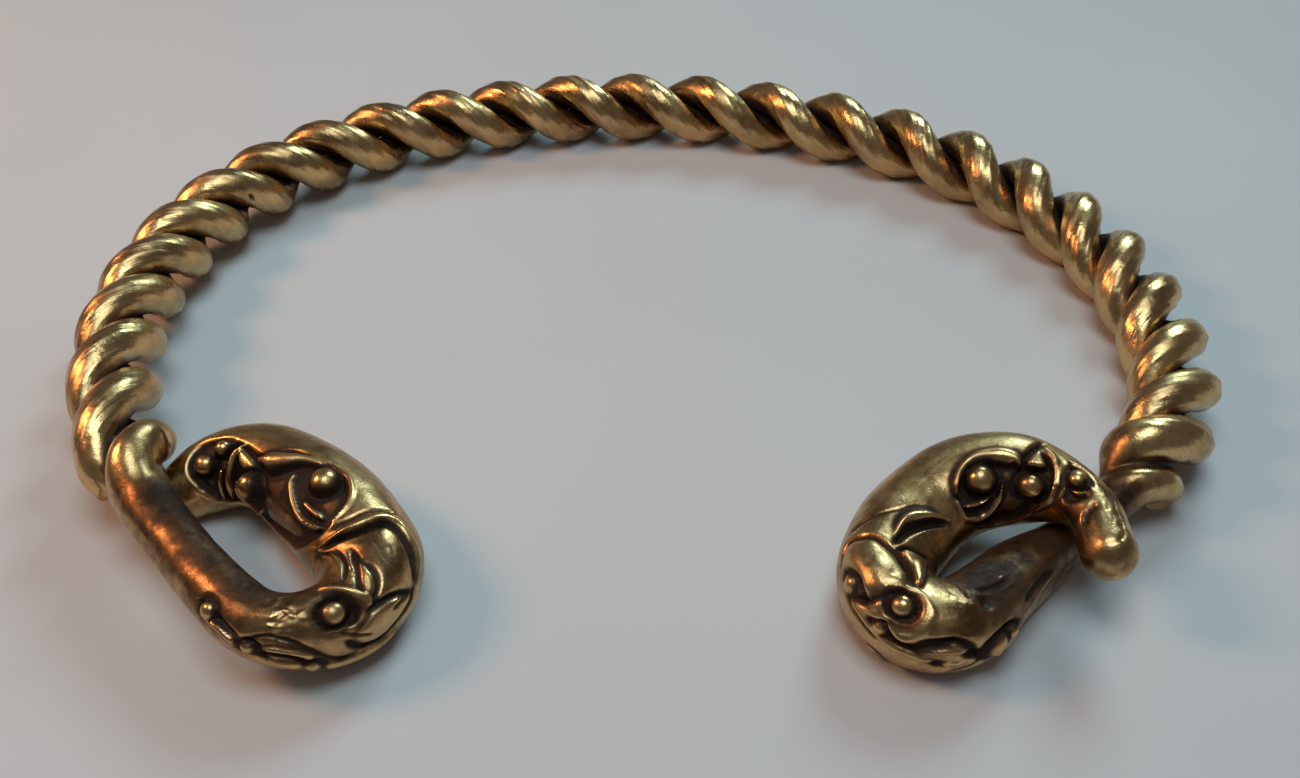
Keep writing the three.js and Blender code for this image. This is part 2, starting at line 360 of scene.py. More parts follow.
def sheet_to_skin(name, points, tarnish_and_shade, along, around):
    """Adds a flat grid, wraps it onto points[i, j] and merges the corners that meet, which closes its
    seam.
    along and around, in millimetres, become its UV map, and the tarnish with its painted shade an
    attribute."""
    columns, rows = points.shape[0] - 1, points.shape[1] - 1
    bpy.ops.object.select_all(action="DESELECT")
    bpy.ops.mesh.primitive_grid_add(x_subdivisions=columns, y_subdivisions=rows, size=1)
    skin = bpy.context.object
    skin.name = name
    skin.data.name = name
    mesh = skin.data
    flat = np.zeros(len(mesh.vertices) * 3)
    mesh.vertices.foreach_get("co", flat)
    flat = flat.reshape(-1, 3)
    i = np.rint((flat[:, 0] + 0.5) * columns).astype(int)
    j = np.rint((flat[:, 1] + 0.5) * rows).astype(int)
    mesh.vertices.foreach_set("co", (points[i, j] * MM).ravel())
    # The attribute holds the tarnish together with the painted shade.
    crust = mesh.attributes.new("tarnish_and_shade", "FLOAT", "POINT")
    crust.data.foreach_set("value", tarnish_and_shade[i, j].astype(np.float32))
    corner = np.zeros(len(mesh.loops), int)
    mesh.loops.foreach_get("vertex_index", corner)
    uv = np.stack([along[i, j], around[i, j]], -1) * MM
    mesh.uv_layers.active.data.foreach_set("uv", uv[corner].ravel())
    mesh.uv_layers.active.name = "skin"
    mesh.update()
    bpy.ops.object.mode_set(mode="EDIT")
    bpy.ops.mesh.select_all(action="SELECT")
    bpy.ops.mesh.remove_doubles(threshold=1e-7)
    return skin


def close_ends():
    """Caps the open rims of the piece in edit mode and turns its faces outward."""
    bpy.ops.mesh.select_all(action="DESELECT")
    bpy.ops.mesh.select_mode(type="EDGE")
    bpy.ops.mesh.select_non_manifold()
    bpy.ops.mesh.fill()
    bpy.ops.mesh.select_all(action="SELECT")
    bpy.ops.mesh.normals_make_consistent(inside=False)
    bpy.ops.mesh.select_mode(type="VERT")
    bpy.ops.object.mode_set(mode="OBJECT")
    bpy.ops.object.shade_smooth_by_angle(angle=math.radians(50))


def settle_on_table(piece):
    """Lays what dips under the table flat on it, as the worn spots that it lies on."""
    mesh = piece.data
    place = np.zeros(len(mesh.vertices) * 3)
    mesh.vertices.foreach_get("co", place)
    place = place.reshape(-1, 3)
    place[:, 2] = np.maximum(place[:, 2], 0)
    mesh.vertices.foreach_set("co", place.ravel())
    mesh.update()


# ---- rods ----

def rod_skin(sizes, phase, seed, flaws):
    """Points, tarnish with its painted shade, along and around of one rod, from inside one terminal to
    the other.
    """
    spacing, sides_round = 0.34, 44
    radius = sizes.rod_diameter / MM / 2
    offset = radius + sizes.rod_gap / MM / 2
    start = -rope_length(SIDES["left"]) - ROOT
    end = rope_length(SIDES["right"]) + ROOT
    distance = np.linspace(start, end, int((end - start) / spacing))

    def path(where):
        centre, outward, upward = frames(where)
        twist = (twist_at(where, sizes.twist_at_back) + phase)[:, None]
        return centre + offset * (np.cos(twist) * outward + np.sin(twist) * upward)

    nudge = 0.1
    centre = path(distance)
    travel = unit(path(distance + nudge) - path(distance - nudge))
    away = centre - centreline(distance)
    outward = unit(away - (away * travel).sum(-1, keepdims=True) * travel)
    upward = np.cross(travel, outward)
    turn = np.linspace(0, 2 * math.pi, sides_round + 1)
    along, angle = np.meshgrid(distance, turn, indexing="ij")

    from_outward = np.abs(np.mod(angle + math.pi, 2 * math.pi) - math.pi)
    bearing = sizes.rod_gap / MM / 2 + BEARING_DEPTH
    bearing = bearing * smooth((from_outward - BEARING_FROM) / BEARING_OVER)
    section = hammered_section(along, angle, radius, sizes.facets, seed) + bearing
    from_pit = np.full_like(along, 9.0)
    for place, turned in flaws:
        across = (angle - math.radians(turned)) * radius
        gap = np.hypot((along - place) / ROD_PIT_LENGTH, across / ROD_PIT_WIDTH)
        from_pit = np.minimum(from_pit, gap)
    section -= ROD_PIT_DEPTH * np.exp(-from_pit ** 2)
    points = (centre[:, None] + section[..., None] * (np.cos(turn)[None, :, None] * outward[:, None]
              + np.sin(turn)[None, :, None] * upward[:, None]))
    # Darkens the valley between the two rods with patina and painted shade.
    valley_patina_and_shade = smooth((from_outward - VALLEY_PATINA_AND_SHADE_FROM) / VALLEY_PATINA_AND_SHADE_OVER)
    patchy = 0.5 + 0.5 * bumps(along, angle / (2 * math.pi), 6, 7, seed + 5)
    tarnish_and_shade = np.clip(valley_patina_and_shade * (0.75 + 0.5 * patchy), 0, 1)
    tarnish_and_shade = np.maximum(tarnish_and_shade, smooth(1.6 - from_pit))
    return points, tarnish_and_shade, along, angle * radius


def hammered_section(along, angle, radius, facets, seed):
    """Radius of a rod worked round by the hammer: long flat faces that drift and fade."""
    rng = np.random.default_rng(seed)
    round_share = angle / (2 * math.pi)
    one_line = np.full_like(along, 0.5)
    reach = np.full_like(along, 1e9)
    for k in range(facets):
        lean = FACE_WANDER * bumps(along, one_line, 14, 1, seed + 20 + k)
        apart = k + rng.uniform(-FACE_SCATTER, FACE_SCATTER)
        middle = apart * 2 * math.pi / facets + lean
        depth = FACE_DEPTH + FACE_CHANGE * bumps(along, one_line, 9, 1, seed + 60 + k)
        turn = np.cos(angle - middle)
        face = np.where(turn > 0.3, (1 - depth) / np.maximum(turn, 0.3), 1e9)
        reach = np.minimum(reach, face)
    rounded = -melt(-reach, np.full_like(reach, -1.0), FACE_SOFTNESS)
    dents = DENT_DEPTH * bumps(along, round_share, 3.2, 8, seed + 1)
    dents += 0.5 * DENT_DEPTH * bumps(along, round_share, 1.3, 17, seed + 2)
    return radius * np.minimum(rounded + dents, 1.0)


class TORC_OT_rods(bpy.types.Operator):
    """Make the two hammered rods, twisted round each other"""

    bl_idname = "torc.rods"
    bl_label = "Twisted Rods"

    def execute(self, context):
        sizes = context.scene.torc_sizes
        finish = rod_gold(context.scene.torc_finish)
        for node, phase, seed, flaws in RODS:
            rod = sheet_to_skin(f"twisted_{node}", *rod_skin(sizes, phase, seed, flaws))
            close_ends()
            settle_on_table(rod)
            rod.data.materials.append(finish)
            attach(rod, "root")
            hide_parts(node)
        return {"FINISHED"}


# ---- terminals ----

def pair_section(turn, radius, offset, pitch):
    """How far two coiled rods reach across the ring, at an angle from the first one."""
    slices = 41
    reach = np.zeros_like(turn)
    for rod in (0, math.pi):
        for ahead in np.linspace(-radius / pitch, radius / pitch, slices):
            lean = turn - rod - ahead
            left = radius ** 2 - (pitch * ahead) ** 2 - (offset * np.sin(lean)) ** 2
            far = offset * np.cos(lean) + np.sqrt(np.maximum(left, 0))
            reach = np.maximum(reach, np.where(left > 0, far, 0))
    return reach


def bar_radius(side, sizes, along, angle):
    """Plain radius of a terminal: two rods side by side, then a round bar, then a domed nose."""
    rod = sizes.rod_diameter / MM / 2
    offset = rod + sizes.rod_gap / MM / 2
    width = value_at(side["width"], along)
    inner = np.maximum(0, -np.cos(angle)) ** 2
    outer = np.maximum(0, np.cos(angle)) ** 2
    bar = width + value_at(side["swell"], along) * inner - value_at(side["wear"], along) * outer
    distance = side["sign"] * (rope_length(side) + along)
    lobe_turn = angle - twist_at(distance, sizes.twist_at_back)
    pitch = value_at(HALF_PITCH, np.array([side["sign"] * rope_length(side)]))[0] / math.pi
    over_rods = CUFF_EDGE + (CUFF_SKIN - CUFF_EDGE) * smooth((along + CUFF) / 2)
    web = WAIST + WAIST_GAIN * smooth((along + CUFF) / 5)
    pair = melt(pair_section(lobe_turn, rod, offset, pitch) + over_rods, web, 0.8)
    blend = NECK_BLEND * (0.66 + 0.34 * np.sin(angle))
    body = pair + (bar - pair) * smooth((along + 1) / blend)
    to_nose = side["loop"] - along
    dome = np.sqrt(np.clip(1 - (1 - to_nose / width) ** 2, 0, 1))
    return body * np.where(to_nose < width, dome, 1)


def bar_points(side, sizes, along, around):
    """Points of a terminal's plain surface."""
    angle = np.radians(around)
    centre, outward, upward = frames(side["sign"] * (rope_length(side) + along))
    reach = bar_radius(side, sizes, along, angle)[..., None]
    return centre + reach * (np.cos(angle)[..., None] * outward + np.sin(angle)[..., None] * upward)


def along_stations(side):
    """Places along a terminal: even on the bar, then closing in over the domed nose."""
    start, bar_steps, nose_steps = -CUFF, 455, 26
    nose = float(value_at(side["width"], np.array([side["loop"]]))[0])
    body = np.linspace(start, side["loop"] - nose, bar_steps)
    turn = np.linspace(0, math.pi / 2, nose_steps + 1)[1:]
    return np.concatenate([body, side["loop"] - nose + nose * np.sin(turn)])


def distance_to(points, line):
    """Distance of each point to a line of short pieces, and how far along it is, 0 to 1."""
    start, piece = line[:-1], np.diff(line, axis=0)
    length = np.maximum((piece ** 2).sum(-1), 1e-9)
    from_start = points[:, None] - start
    t = np.clip((from_start * piece).sum(-1) / length, 0, 1)
    gap = ((from_start - t[..., None] * piece) ** 2).sum(-1)
    nearest = gap.argmin(1)
    pick = np.arange(len(points))
    return np.sqrt(gap[pick, nearest]), (nearest + t[pick, nearest]) / len(start)


class Relief:
    """The relief of one terminal: heights in millimetres over its plain surface."""

    around_steps = 196

    def __init__(self, side, sizes):
        self.side = side
        self.sizes = sizes
        turn = np.linspace(-180, 180, self.around_steps + 1)
        self.along, self.around = np.meshgrid(along_stations(side), turn, indexing="ij")
        self.points = bar_points(side, sizes, self.along, self.around)
        self.height = np.zeros_like(self.along)
        self.stain_and_shade = np.zeros_like(self.along)
        self.crust = np.zeros_like(self.along)
        self.normals = self.outward_normals()

    def outward_normals(self):
        """The directions that stand square on the plain surface and point out of it."""
        by_along = np.gradient(self.points, axis=0)
        by_around = np.gradient(self.points, axis=1)
        by_around[:, 0] = by_around[:, -1] = self.points[:, 1] - self.points[:, -2]
        normals = unit(np.cross(by_along, by_around))
        centre = centreline(self.side["sign"] * (rope_length(self.side) + self.along))
        facing = ((self.points - centre) * normals).sum(-1)
        flip = np.where(np.sum(np.sign(facing)) < 0, -1, 1)
        return normals * flip

    def line(self, route, closed=False):
        """A route's smooth curve, as (along, around) and as points on the surface."""
        steps = 5
        places = curve_through(route, steps, closed)
        return places, bar_points(self.side, self.sizes, places[:, 0], places[:, 1])

    def near(self, places, line, reach):
        """Which corners of the skin are within reach of a line."""
        low, high = line.min(0) - reach, line.max(0) + reach
        close = np.all((self.points > low) & (self.points < high), axis=2)
        close &= self.along > places[:, 0].min() - 2 * reach
        close &= self.along < places[:, 0].max() + 2 * reach
        return np.nonzero(close)

    def ridge(self, route, widths, rises):
        """A rounded rib on whatever lies there, slim over the last fifth at each end.
        widths and rises are shared out along it."""
        places, line = self.line(route)
        widths, rises = np.atleast_1d(widths), np.atleast_1d(rises)
        where = self.near(places, line, widths.max())
        gap, share = distance_to(self.points[where], line)
        width = np.interp(share, np.linspace(0, 1, len(widths)), widths)
        rise = np.interp(share, np.linspace(0, 1, len(rises)), rises)
        foot = self.height[where][gap < 0.6 * widths.max()].min() - RIB_FOOT
        ends = 0.4 + 0.6 * smooth(np.minimum(share, 1 - share) / 0.2)
        arch = np.sqrt(np.maximum(1 - (gap / (0.5 * width * ends)) ** 2, 0))
        top = foot + (rise - foot) * arch
        self.height[where] = np.where(arch > 0, melt(top, self.height[where], 0.08),
                                      self.height[where])

    def groove(self, route, width, depth):
        """A cut line that grows shallow at both ends. The deeper it is, the more crust."""
        places, line = self.line(route)
        where = self.near(places, line, 1.5 * width)
        gap, share = distance_to(self.points[where], line)
        ends = smooth(np.minimum(share, 1 - share) / 0.12)
        cut = np.exp(-((gap / (0.42 * width)) ** 2)) * (0.3 + 0.7 * ends)
        self.height[where] -= depth * cut
        self.crust[where] = np.maximum(self.crust[where], cut * min(1, depth / 0.5))

    def inside(self, where, places):
        """Which corners lie inside a closed outline of (along, around) places."""
        middle = places[:, 1].mean()
        u = self.along[where]
        v = middle + np.mod(self.around[where] - middle + 180, 360) - 180
        odd = np.zeros(len(u), bool)
        for (u0, v0), (u1, v1) in zip(places[:-1], places[1:]):
            crosses = (v0 > v) != (v1 > v)
            if crosses.any():
                odd ^= crosses & (u < (u1 - u0) * (v - v0) / (v1 - v0 + 1e-12) + u0)
        return odd

    def hollow(self, outline, depth, slope):
        """A sunk field inside an outline, with a bank as wide as slope."""
        places, line = self.line(outline, closed=True)
        where = self.near(places, line, 0.5)
        gap, _ = distance_to(self.points[where], line)
        floor = -depth * smooth(np.where(self.inside(where, places), gap, 0) / slope)
        self.height[where] = np.minimum(self.height[where], floor)

    def pad(self, outline, rise, slope, dome=0.0):
        """A raised field inside an outline, rounded at its edge and domed."""
        places, line = self.line(outline, closed=True)
        where = self.near(places, line, 0.5)
        gap, _ = distance_to(self.points[where], line)
        inside = self.inside(where, places)
        edge = smooth(np.where(inside, gap, 0) / slope)
        top = rise + dome * smooth(gap / max(gap[inside].max(), slope))
        self.height[where] += np.maximum(top - self.height[where], 0) * edge

    def spot(self, place, reach):
        """The corners near a place, and their distances from it."""
        spot = bar_points(self.side, self.sizes, np.array([place[0]]), np.array([place[1]], float))
        where = self.near(np.array([place]), spot, reach)
        return where, np.linalg.norm(self.points[where] - spot[0], axis=1)

    def boss(self, place, radius, rise):
        """A round knob that stands out by rise, in a fine moat."""
        where, gap = self.spot(place, 2 * radius)
        moat = MOAT_DEPTH * np.exp(-(((gap - 1.15 * radius) / MOAT_WIDTH) ** 2))
        ground = self.height[where] - moat
        top = rise - radius + np.sqrt(np.maximum(radius ** 2 - gap ** 2, 0))
        lowest = np.minimum(ground, rise - radius)
        self.height[where] = np.where(gap < radius, np.maximum(top, lowest), ground)

    def pit(self, place, radius, depth):
        """A small hole left by the casting."""
        where, gap = self.spot(place, 2 * radius)
        self.height[where] -= depth * np.exp(-((gap / radius) ** 2))

    def dirt_and_shade_spot(self, place, radius, amount):
        """A broad brown stain, which along the necks also stands in for painted shade."""
        where, gap = self.spot(place, 2.2 * radius)
        stain_and_shade = amount * np.exp(-((gap / radius) ** 2))
        self.stain_and_shade[where] = np.maximum(self.stain_and_shade[where], stain_and_shade)

    def roughen(self, place, radius, amount, seed):
        """A rough patch where the metal filled the mould badly."""
        where, gap = self.spot(place, 2 * radius)
        share = self.around[where] / 360
        grain = bumps(self.along[where], share, 0.7, 52, seed)
        grain += 0.6 * bumps(self.along[where], share, 0.45, 80, seed + 1)
        self.height[where] += amount * grain * np.exp(-((gap / radius) ** 2))

    def cast_skin(self, seed):
        """The uneven skin that the mould left everywhere."""
        share = self.around / 360 + 0.5
        to_nose = smooth((self.side["loop"] - self.along) / 2)
        for k, (rise, spacing, number) in enumerate(CAST_SKIN):
            self.height += rise * bumps(self.along, share, spacing, number, seed + k) * to_nose

    def spread(self, field, passes):
        """The same field, blurred over the skin."""
        for _ in range(passes):
            ring = field[:, :-1]
            ring = 0.5 * ring + 0.25 * (np.roll(ring, 1, 1) + np.roll(ring, -1, 1))
            field = np.concatenate([ring, ring[:, :1]], 1)
            field[1:-1] = 0.5 * field[1:-1] + 0.25 * (field[2:] + field[:-2])
        return field

    def tops(self, field, steps):
        """The highest value within so many steps over the skin."""
        for _ in range(steps):
            ring = field[:, :-1]
            ring = np.maximum(ring, np.maximum(np.roll(ring, 1, 1), np.roll(ring, -1, 1)))
            field = np.concatenate([ring, ring[:, :1]], 1)
            field[1:-1] = np.maximum(field[1:-1], np.maximum(field[2:], field[:-2]))
        return field

    def skin(self):
        """Points, tarnish with its painted shade, along and around of the finished terminal."""
        height = self.spread(self.height * self.sizes.relief, 1)
        over = self.spread(self.tops(height, 3), 8)
        sunk = np.maximum(smooth((over - height - CRUST_FROM) / CRUST_OVER), self.crust)
        halo = self.spread(sunk, BLOOM_STEPS)
        proud = height - self.spread(height, BLOOM_STEPS)
        proud = smooth((proud - RUBBED_FROM) / RUBBED_OVER)
        radius = bar_radius(self.side, self.sizes, self.along, np.radians(self.around))
        # Patina and painted shade in the crease where the two rods go into the cast metal.
        neck_patina_and_shade = np.exp(-((self.along / 4) ** 2)) * smooth((4.9 - radius) / 1.3)
        # Painted shade on the side that faces the loop's hole.
        hole_side_shade = np.maximum(0, -np.cos(np.radians(self.around))) ** 2
        mottled = 0.14 + 0.16 * bumps(self.along, self.around / 360 + 0.5, 6, 6, 90)
        # Brown bloom and stains, with the painted shade along the necks.
        bloom_and_shade = (0.5 * halo + self.stain_and_shade + mottled) * (1 - 0.9 * proud)
        tarnish_and_shade = np.maximum(sunk, 0.95 * neck_patina_and_shade) + bloom_and_shade + 0.12 * hole_side_shade
        tarnish_and_shade = np.clip(tarnish_and_shade, 0, 1)
        points = self.points + height[..., None] * self.normals
        points[:, -1] = points[:, 0]
        points[-1] = points[-1, :-1].mean(0)
        tarnish_and_shade[:, -1] = tarnish_and_shade[:, 0]
        around = np.radians(self.around) * value_at(self.side["width"], self.along)
        return points, tarnish_and_shade, self.along, around


def left_head(relief):
    """The ornament on top of the left loop: a boss under a comma leaf, and small knobs."""
    relief.hollow([(102.5, 132), (102, 104), (99.5, 80), (97.5, 78), (95, 90), (91.5, 104),
                   (88, 114), (85.5, 112), (83.5, 98), (80.5, 84), (76.5, 78), (73, 76), (70, 84),
                   (67.5, 100), (66.5, 122), (66.5, 146), (70.5, 176), (77, 192), (84, 204),
                   (91, 210), (97, 198), (101, 166)], 1.0, 1.1)
    relief.ridge([(84.5, 100), (81.5, 88), (77, 80), (73, 76), (70, 85), (68, 100), (67, 122)],
                 1.5, 0.3)
    relief.ridge([(86, 124), (84, 118), (82, 108), (80, 96), (77.5, 88), (74.5, 84)],
                 (3.4, 4.0, 3.2, 2.2, 1.5, 1.2), (1.0, 1.2, 0.9, 0.5, 0.2, 0.05))
    relief.ridge([(79, 116), (78, 128), (75.5, 140), (72.5, 145), (69, 140), (67, 132)],
                 (1.0, 1.3, 1.5, 1.5, 1.3, 1.0), 0.25)
    relief.ridge([(74.5, 132), (72, 132), (69, 128)], 1.4, -0.1)
    relief.boss((74.5, 100), 2.55, 1.25)
    relief.ridge([(92.5, 160), (93, 180), (90.5, 196), (86, 196), (83, 178)], 1.2, 0.1)
    relief.boss((86.5, 158), 2.3, 1.7)
    relief.ridge([(91.5, 110), (93, 124), (93.5, 140), (94.5, 160), (95, 184)], 1.5, 0.45)
    relief.pad([(92, 110), (89.5, 118), (87, 126), (86, 138), (89, 146), (91.5, 140),
                (92.5, 126)], 0.2, 0.8, 0.2)
    relief.ridge([(96.5, 114), (93.5, 104)], 2.2, 0.35)
    relief.boss((95, 108), 1.4, 0.85)
    relief.boss((98.5, 120), 1.8, 1.0)
    relief.ridge([(102.5, 148), (101.5, 166), (99.5, 186)], 2.2, 0.2)
    relief.ridge([(95.5, 138), (97, 158), (98, 184)], 1.1, 0.0)
    relief.groove([(83, 198), (79, 188), (74.5, 180), (70.5, 170)], 0.8, 0.5)
    relief.dirt_and_shade_spot((79, 146), 3.4, 0.4)
    relief.dirt_and_shade_spot((69, 135), 3.5, 0.35)


def left_panel(relief):
    """The ornament on the left loop's bend: a curved panel with leaves nested in it."""
    relief.ridge([(65, 148), (64, 124), (64, 105), (64, 88), (64, 68), (63.5, 52),
                  (62, 40), (61, 28), (59, 16), (57.5, 6)], 1.4, 0.32)
    relief.groove([(66, 130), (65.5, 105), (65.5, 85), (65, 66), (64.5, 50)], 0.6, 0.35)
    relief.pad([(62.5, 136), (61.5, 120), (61.5, 100), (62, 80), (62, 68), (61, 54), (59.5, 44),
                (58.5, 32), (57, 22), (55.5, 32), (54, 40), (52.5, 44), (54, 52), (55, 64),
                (56.5, 80), (57.5, 100), (60, 122)], 0.1, 1.4, 0.1)
    relief.groove([(63.5, 144), (63, 122), (62.5, 100), (63, 80), (63, 68), (62, 54),
                   (60.5, 42), (59.5, 32), (58, 18)], 1.2, 1.2)
    relief.groove([(58.5, 110), (56.5, 94), (56, 80), (55, 64), (53.5, 52), (52.5, 48)], 0.65, 0.6)
    relief.ridge([(57, 96), (55.5, 88), (54.5, 72), (53, 58)], (1.1, 1.8, 1.6, 1.0), 0.1)
    relief.groove([(59, 112), (56, 100), (54, 86), (53, 75), (52.5, 64)], 0.7, 0.65)
    relief.ridge([(61.5, 138), (57.5, 120), (54.5, 100), (52.5, 88)], (1.0, 1.8, 1.9, 1.3), 0.15)
    relief.groove([(61, 144), (59.5, 132), (55.5, 112), (52, 98)], 0.7, 0.65)
    relief.groove([(60.5, 104), (60.5, 88), (59, 76), (59.5, 66), (58, 58)], 0.4, 0.1)
    relief.groove([(59, 78), (58, 70), (57.5, 60)], 0.4, 0.08)
    for place in ((54.5, 100), (54, 96), (54, 92), (53.5, 94)):
        relief.pit(place, 0.3, 0.2)
    relief.ridge([(72.5, 188), (66.5, 156), (62.5, 145), (55, 118), (52, 100)], 1.0, 0.2)
    relief.dirt_and_shade_spot((59.5, 72), 4.5, 0.5)


def left_eye(relief):
    """The eye below the panel, and the leaf under it."""
    relief.hollow([(48, 92), (50, 84), (51, 68), (51.5, 52), (51, 40), (50, 34),
                   (49, 40), (47.5, 52), (47, 70)], 1.1, 0.7)
    relief.ridge([(48, 108), (50, 95), (51.5, 78), (52.5, 60), (52.5, 44)], 1.5, 0.5)
    relief.boss((48.5, 64), 2.4, 0.35)
    relief.pad([(52.5, 40), (54, 35), (55.5, 28), (56.5, 12), (55.5, 4), (54, -2),
                (52.5, -8), (51, -5), (50, 10), (50, 24), (51, 32)], 0.35, 0.6, 0.15)
    relief.groove([(52, 44), (54, 40), (55.5, 30), (57, 12)], 0.8, 0.8)
    relief.groove([(57.5, 12), (56.5, 0), (54.5, -6), (52.5, -12), (50.5, -10), (49.5, 4),
                   (49, 18)], 0.9, 0.9)
    relief.groove([(48.5, 36), (49.5, 25), (50.5, 18), (51.5, 10)], 0.45, 0.4)
    relief.groove([(54, 22), (55.5, 20), (56.5, 12)], 0.45, 0.4)
    for place in ((54, 16), (55, 12), (54, 10)):
        relief.pit(place, 0.3, 0.35)
    relief.ridge([(49.5, 132), (49, 110), (50.5, 96)], 0.9, 0.2)


def left_underside(relief):
    """The ornament that hangs under the left loop's outer side."""
    # Brown stain and painted shade along the neck's hole side.
    for along in range(14, 38, 4):
        relief.dirt_and_shade_spot((along, 118), 6.5, 0.78)
    relief.dirt_and_shade_spot((46, 80), 6, 0.4)
    relief.hollow([(32, 34), (33, 45), (35.5, 50), (38, 40), (39, 30), (38.5, 18),
                   (36.5, 22), (34, 24)], 0.8, 0.6)
    relief.boss((34.5, 35), 1.6, 0.75)
    relief.ridge([(35, 22), (36.5, 24), (38, 18), (39, 10)], 1.4, 0.4)
    relief.groove([(39, 16), (40.5, 26), (41.5, 16), (42.5, 12), (44, 10), (46, -8)], 0.8, 0.9)
    relief.boss((40, 12), 1.1, 0.5)
    relief.pit((41.5, 6), 0.7, 1.0)
    relief.ridge([(41.5, 20), (43, 20), (45, 12), (46, -4)], 1.5, 0.45)
    relief.groove([(39.5, 26), (41.5, 42), (43, 40), (44.5, 32), (46, 14), (48, -14), (50, -18)],
                  0.6, 0.5)
    relief.ridge([(42.5, -6), (45, -18), (48, -30), (51, -32), (54, -24)], 2.2, 0.5)
    relief.boss((46, -22), 1.3, 0.7)
    relief.roughen((43, 72), 3.0, 0.2, 31)
    relief.roughen((42.5, 44), 1.8, 0.14, 32)
    relief.roughen((35.5, 104), 2.4, 0.10, 33)


def right_head(relief):
    """The ornament on top of the right loop: two bosses, a lip and a curled rib."""
    relief.hollow([(79.5, 134), (80, 122), (82.5, 112), (85.5, 104), (89, 100), (92, 104),
                   (94.5, 112), (96, 110), (97, 92), (99, 92), (101, 108), (102.5, 124),
                   (103, 146), (102, 172), (98.5, 194), (94, 208), (89, 204), (84.5, 190),
                   (80.5, 172), (79, 152)], 1.1, 1.1)
    relief.ridge([(80.5, 128), (81.5, 120), (83.5, 112), (86, 106), (88.5, 104), (91, 106),
                  (93.5, 112), (94.5, 120)], (1.0, 1.3, 1.7, 2.3, 3.0, 3.4, 3.2, 2.2), 0.75)
    relief.ridge([(80, 134), (79.5, 146), (80, 158), (82.5, 168), (85.5, 172), (88.5, 168),
                  (90.5, 158), (91.5, 144)], 1.5, 0.35)
    relief.ridge([(80.5, 144), (82.5, 150), (85.5, 154), (89, 154)], 1.2, 0.2)
    relief.boss((87, 130), 2.4, 1.3)
    relief.boss((97.5, 148), 2.0, 1.1)
    relief.ridge([(97, 80), (98.5, 90), (100, 104), (101, 122), (101.5, 140), (101.5, 164),
                  (100, 180), (98, 192)], 1.6, 0.5)
    relief.pad([(95.5, 120), (96, 100), (96.5, 88), (98, 100), (99, 112), (98, 120)],
               0.35, 0.5)
    relief.groove([(95, 120), (95, 110), (95.5, 100), (96, 84), (96.5, 66)], 0.9, 0.9)
    relief.ridge([(86, 204), (90, 212), (94, 210), (97, 200), (98.5, 192)], 1.0, 0.1)
    relief.hollow([(100.5, 76), (101.5, 100), (102.5, 130), (103.5, 158), (105.5, 152),
                   (106.5, 122), (106, 100), (104.5, 82), (102.5, 70)], 0.9, 0.8)
    relief.ridge([(103.5, 130), (105, 122), (105.5, 100), (103.5, 84)], 1.0, 0.1)
    relief.boss((103, 100), 1.6, 0.85)
    for place in ((108, 112), (108.5, 124), (109, 134), (109.5, 142)):
        relief.pit(place, 0.5, 0.5)
    relief.groove([(103.5, 50), (106.5, 58), (108.5, 68), (110.5, 66), (113, 74), (114, 96),
                   (114, 118)], 0.35, 0.14)
    for place in ((107.5, 62), (109.5, 68), (111.5, 72), (112.5, 68), (113.5, 82)):
        relief.pit(place, 0.4, 0.2)
    relief.roughen((109.5, 76), 2.4, 0.06, 44)
    relief.dirt_and_shade_spot((93, 172), 4.5, 0.35)
    relief.dirt_and_shade_spot((106.5, 132), 4, 0.35)


def right_panel(relief):
    """The ornament on the right loop's bend: a domed panel, a comma leaf and a tear."""
    relief.pad([(65, 105), (66.5, 100), (69.5, 95), (71.5, 100), (73.5, 112), (75, 126),
                (76.5, 144), (73.5, 134), (71, 124), (68.5, 112), (66, 108)], 0.5, 1.0, 0.5)
    relief.groove([(64.5, 108), (67, 112), (70, 122), (73, 134), (76, 148)], 1.1, 0.9)
    relief.groove([(65.5, 42), (67, 58), (68.5, 70), (70, 84), (71.5, 96), (74.5, 112)], 0.45, 0.35)
    relief.pad([(63.5, 40), (64, 54), (64, 68), (64, 84), (63, 96), (61, 108),
                (57.5, 110), (55.5, 98), (55.5, 90), (56.5, 80), (57, 68), (57.5, 56),
                (58, 42), (59, 32), (61, 26)], 0.25, 1.0, 0.35)
    relief.groove([(62.5, 28), (64, 40), (64.5, 54), (64.5, 68), (64.5, 84), (63.5, 98), (61.5, 112),
                   (57, 112), (55, 100)], 0.8, 0.8)
    relief.groove([(55, 92), (56, 80), (56.5, 68), (57, 56), (57.5, 44), (59, 30)], 0.7, 0.8)
    relief.pad([(63, 112), (64, 120), (65, 136), (65, 150), (60, 150), (54.5, 134),
                (53.5, 106), (54.5, 100), (56, 108), (58.5, 118), (61, 115)], 0.55, 0.6, 0.3)
    relief.groove([(62.5, 112), (64.5, 120), (65.5, 136), (66.5, 152)], 0.7, 0.7)
    relief.groove([(61, 48), (59.5, 54), (58, 46), (58, 34)], 0.8, 0.9)
    relief.boss((60, 38), 1.8, 0.75)
    relief.pit((60.5, 36), 0.35, 0.3)
    relief.pit((58, 92), 0.3, 0.2)
    relief.pit((60.5, 74), 0.35, 0.2)


